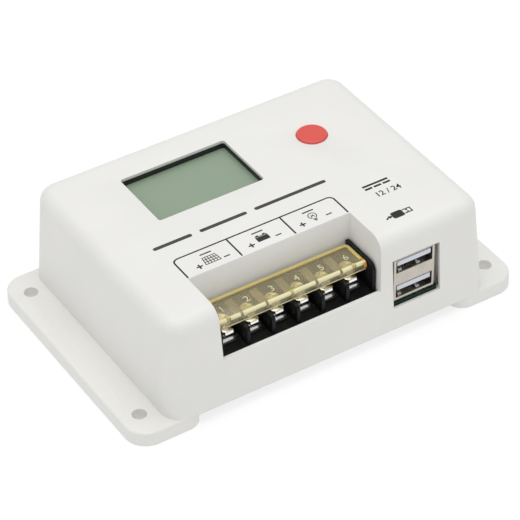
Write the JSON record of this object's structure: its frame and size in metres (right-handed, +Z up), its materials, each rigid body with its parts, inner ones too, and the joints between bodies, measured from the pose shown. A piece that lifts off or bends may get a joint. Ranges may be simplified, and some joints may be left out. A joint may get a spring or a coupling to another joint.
{
  "type": "solar charge controller",
  "caption": "Wall-mount solar charge controller: drafted case on two flange feet, display window, menu button, screw terminals under a hinged clear cover and stacked USB sockets.",
  "frame": {"origin": "centre of the underside of the two feet, on the mounting surface", "axes": "+X along the length to the right seen from the terminal side, +Z up out of the display face, terminals face -Y"},
  "size_m": [0.15, 0.0934, 0.0434],
  "materials": {
    "white_plastic": "satin moulded",
    "aluminium_plate": "anodised",
    "steel_screws": "zinc plated",
    "brass_posts": "turned",
    "board_green": "solder mask",
    "black_plastic": "moulded",
    "tinned_contacts": "tin plated",
    "nickel_clamps": "nickel plated",
    "clear_yellow": "clear tinted",
    "usb_metal": "plated sheet",
    "usb_plastic": "moulded",
    "gold_contacts": "plated",
    "red_plastic": "moulded",
    "display_glass": "polarised",
    "diffuser_white": "frosted",
    "ferrite": "sintered",
    "copper_wire": "enamelled copper",
    "gap_pad": "soft",
    "can_sleeve": "shrink sleeve",
    "chip_epoxy": "moulded epoxy",
    "ceramic_tan": "sintered"
  },
  "bodies": {
    "case": {"housing": "white_plastic", "base_plate": "aluminium_plate", "base_screws": "steel_screws", "standoffs": "brass_posts", "main_pcb": "board_green", "pcb_screws": "steel_screws", "terminal_housing": "black_plastic", "terminal_contacts": "tinned_contacts", "usb_shell": "usb_metal", "usb_insulator": "usb_plastic", "usb_contacts": "gold_contacts", "switch_body": "black_plastic", "display_pcb": "board_green", "display_screws": "steel_screws", "lcd_bezel": "black_plastic", "lcd_glass": "display_glass", "lcd_backlight": "diffuser_white", "lcd_leads": "tinned_contacts", "header_strips": "black_plastic", "header_leads": "gold_contacts", "mosfet_bodies": "chip_epoxy", "mosfet_leadframes": "tinned_contacts", "mosfet_screws": "steel_screws", "thermal_pads": "gap_pad", "electrolytic_capacitors": "can_sleeve", "inductor_core": "ferrite", "inductor_winding": "copper_wire", "microcontroller": "chip_epoxy", "driver_chips": "chip_epoxy", "chip_leads": "tinned_contacts", "diodes": "chip_epoxy", "current_shunt": "tinned_contacts", "crystal": "tinned_contacts", "chip_resistors": "chip_epoxy", "chip_capacitors": "ceramic_tan", "thermistor": "chip_epoxy"},
    "cover": {"terminal_cover": "clear_yellow"},
    "button": {"button_cap": "red_plastic", "switch_plunger": "black_plastic"},
    "clamp_1": {"clamp_plate_1": "nickel_clamps"},
    "screw_1": {"terminal_screw_1": "nickel_clamps"},
    "clamp_2": {"clamp_plate_2": "nickel_clamps"},
    "screw_2": {"terminal_screw_2": "nickel_clamps"},
    "clamp_3": {"clamp_plate_3": "nickel_clamps"},
    "screw_3": {"terminal_screw_3": "nickel_clamps"},
    "clamp_4": {"clamp_plate_4": "nickel_clamps"},
    "screw_4": {"terminal_screw_4": "nickel_clamps"},
    "clamp_5": {"clamp_plate_5": "nickel_clamps"},
    "screw_5": {"terminal_screw_5": "nickel_clamps"},
    "clamp_6": {"clamp_plate_6": "nickel_clamps"},
    "screw_6": {"terminal_screw_6": "nickel_clamps"}
  },
  "joints": [
    {"name": "button_press", "type": "slide", "parent": "case", "child": "button", "axis": [0, 0, -1], "range_m": [0, 0.0005], "stiffness_N_per_m": 1500, "springref_m": -0.0005},
    {"name": "cover_hinge", "type": "hinge", "parent": "case", "child": "cover", "pos_m": [-0.0114, -0.0293, 0.0309], "axis": [-1, 0, 0], "range_deg": [0, 92]},
    {"name": "clamp_1_lift", "type": "slide", "parent": "case", "child": "clamp_1", "axis": [0, 0, 1], "range_m": [-0.0016, 0.001]},
    {"name": "screw_1_turn", "type": "hinge", "parent": "clamp_1", "child": "screw_1", "pos_m": [-0.03515, -0.0346, 0.0265], "axis": [0, 0, 1], "range_deg": [-1154, 722]},
    {"name": "clamp_2_lift", "type": "slide", "parent": "case", "child": "clamp_2", "axis": [0, 0, 1], "range_m": [-0.0016, 0.001]},
    {"name": "screw_2_turn", "type": "hinge", "parent": "clamp_2", "child": "screw_2", "pos_m": [-0.02565, -0.0346, 0.0265], "axis": [0, 0, 1], "range_deg": [-1154, 722]},
    {"name": "clamp_3_lift", "type": "slide", "parent": "case", "child": "clamp_3", "axis": [0, 0, 1], "range_m": [-0.0016, 0.001]},
    {"name": "screw_3_turn", "type": "hinge", "parent": "clamp_3", "child": "screw_3", "pos_m": [-0.01615, -0.0346, 0.0265], "axis": [0, 0, 1], "range_deg": [-1154, 722]},
    {"name": "clamp_4_lift", "type": "slide", "parent": "case", "child": "clamp_4", "axis": [0, 0, 1], "range_m": [-0.0016, 0.001]},
    {"name": "screw_4_turn", "type": "hinge", "parent": "clamp_4", "child": "screw_4", "pos_m": [-0.00665, -0.0346, 0.0265], "axis": [0, 0, 1], "range_deg": [-1154, 722]},
    {"name": "clamp_5_lift", "type": "slide", "parent": "case", "child": "clamp_5", "axis": [0, 0, 1], "range_m": [-0.0016, 0.001]},
    {"name": "screw_5_turn", "type": "hinge", "parent": "clamp_5", "child": "screw_5", "pos_m": [0.00285, -0.0346, 0.0265], "axis": [0, 0, 1], "range_deg": [-1154, 722]},
    {"name": "clamp_6_lift", "type": "slide", "parent": "case", "child": "clamp_6", "axis": [0, 0, 1], "range_m": [-0.0016, 0.001]},
    {"name": "screw_6_turn", "type": "hinge", "parent": "clamp_6", "child": "screw_6", "pos_m": [0.01235, -0.0346, 0.0265], "axis": [0, 0, 1], "range_deg": [-1154, 722]}
  ],
  "couplings": [
    {"joint": "screw_1_turn", "follows": "clamp_1_lift", "rad_per_m": 12566},
    {"joint": "screw_2_turn", "follows": "clamp_2_lift", "rad_per_m": 12566},
    {"joint": "screw_3_turn", "follows": "clamp_3_lift", "rad_per_m": 12566},
    {"joint": "screw_4_turn", "follows": "clamp_4_lift", "rad_per_m": 12566},
    {"joint": "screw_5_turn", "follows": "clamp_5_lift", "rad_per_m": 12566},
    {"joint": "screw_6_turn", "follows": "clamp_6_lift", "rad_per_m": 12566}
  ]
}
